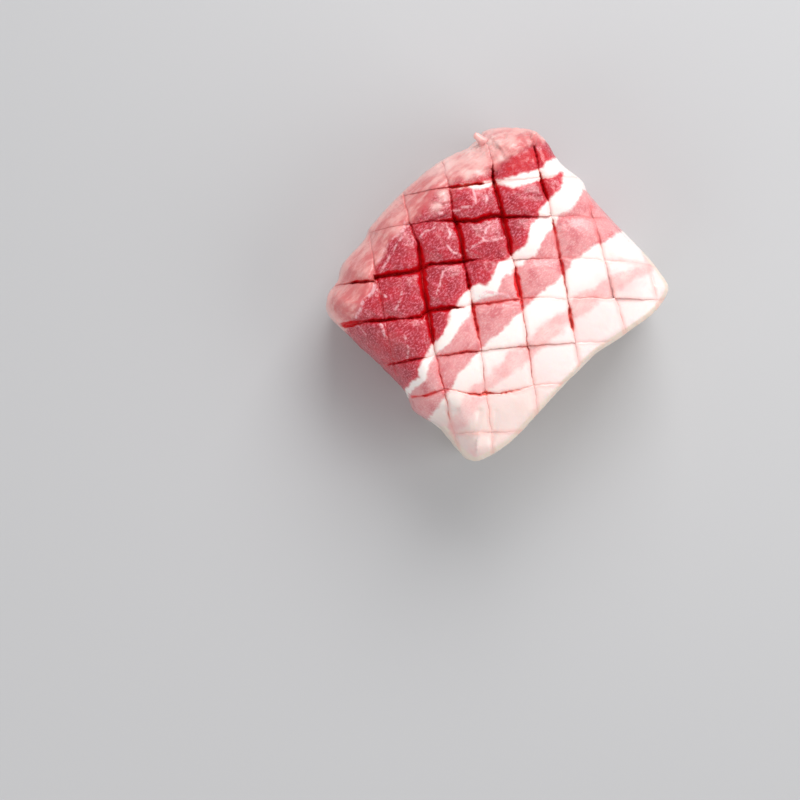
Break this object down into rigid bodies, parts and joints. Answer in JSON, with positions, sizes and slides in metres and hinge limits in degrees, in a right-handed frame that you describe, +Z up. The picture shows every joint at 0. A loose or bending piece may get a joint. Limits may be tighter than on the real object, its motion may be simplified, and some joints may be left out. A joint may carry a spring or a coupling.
{
  "type": "pork belly block",
  "caption": "Raw pork belly block on a cut side, rind and layers of fat and lean upright, with its upper cut side scored into pillowed diamonds.",
  "frame": {"origin": "middle of the block's bounding box, on the surface that it rests on", "axes": "+X along the rind, the longest way; +Y from the rind to the rib side; +Z up to the scored side"},
  "size_m": [0.0737, 0.0688, 0.042],
  "materials": {
    "raw_pork_belly": "moist satin"
  },
  "bodies": {
    "root": {"pork_belly_block": "raw_pork_belly"}
  },
  "joints": []
}
